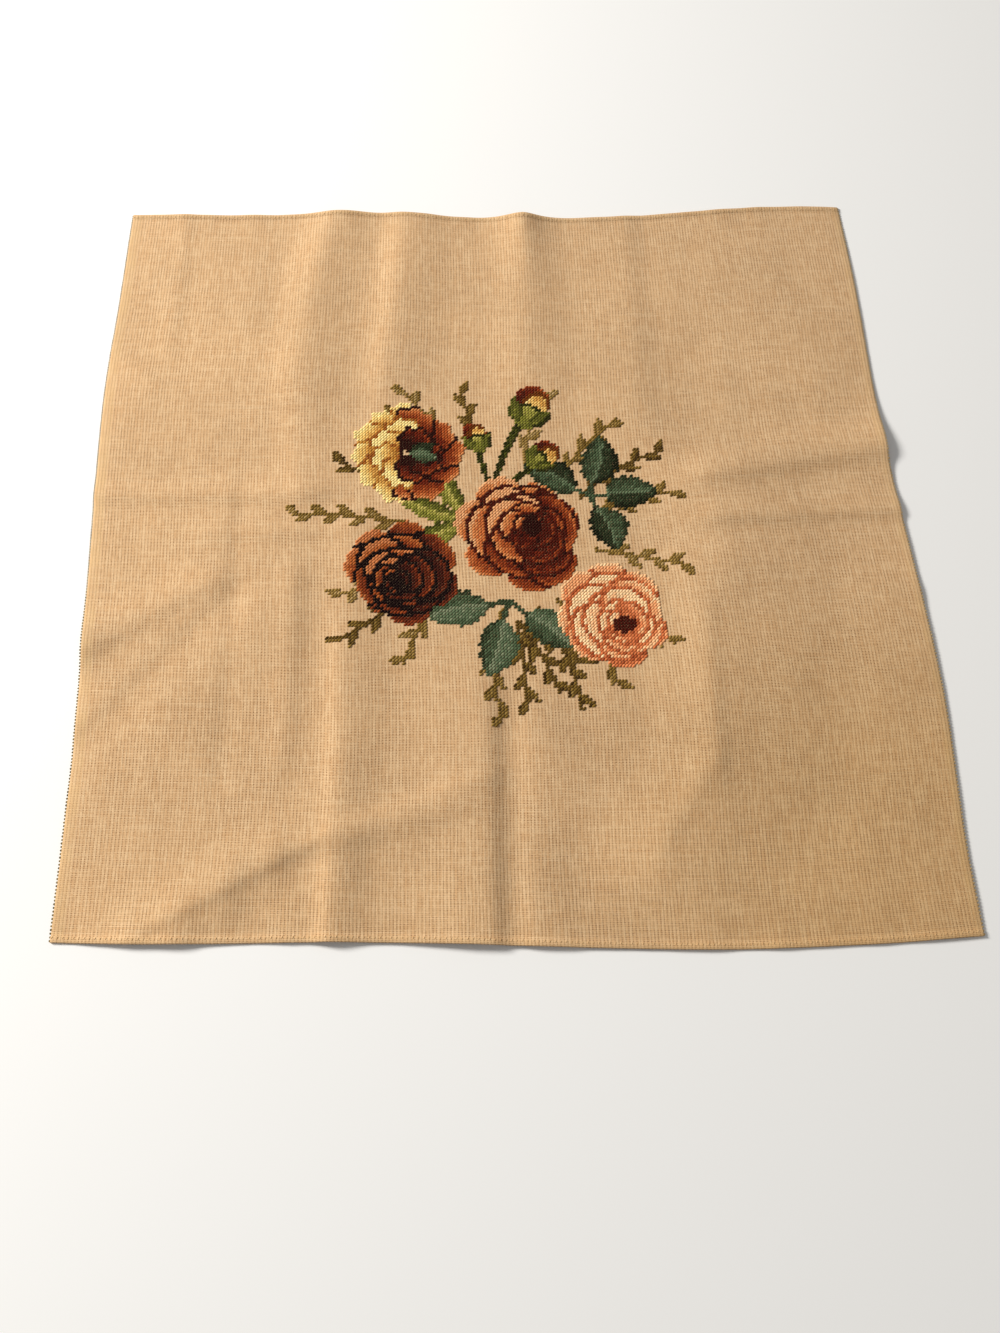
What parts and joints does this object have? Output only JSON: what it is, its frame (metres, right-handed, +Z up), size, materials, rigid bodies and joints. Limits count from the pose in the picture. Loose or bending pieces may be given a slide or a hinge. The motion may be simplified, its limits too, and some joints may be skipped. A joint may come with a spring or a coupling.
{
  "type": "needlepoint canvas panel",
  "caption": "Square of stiff double-thread cotton canvas with a wool rose bouquet worked at its centre, lying flat with soft storage folds.",
  "frame": {"origin": "on the surface that the panel lies on, under the middle of its box", "axes": "+Z up out of the worked face, +Y from the near side to the far side of the bouquet (its top), +X to the right"},
  "size_m": [0.7022, 0.6994, 0.0106],
  "materials": {
    "cotton_canvas": "matte",
    "edge_thread": "matte",
    "wool_yarn": "matte"
  },
  "bodies": {
    "root": {"canvas_panel": "cotton_canvas"}
  },
  "joints": []
}
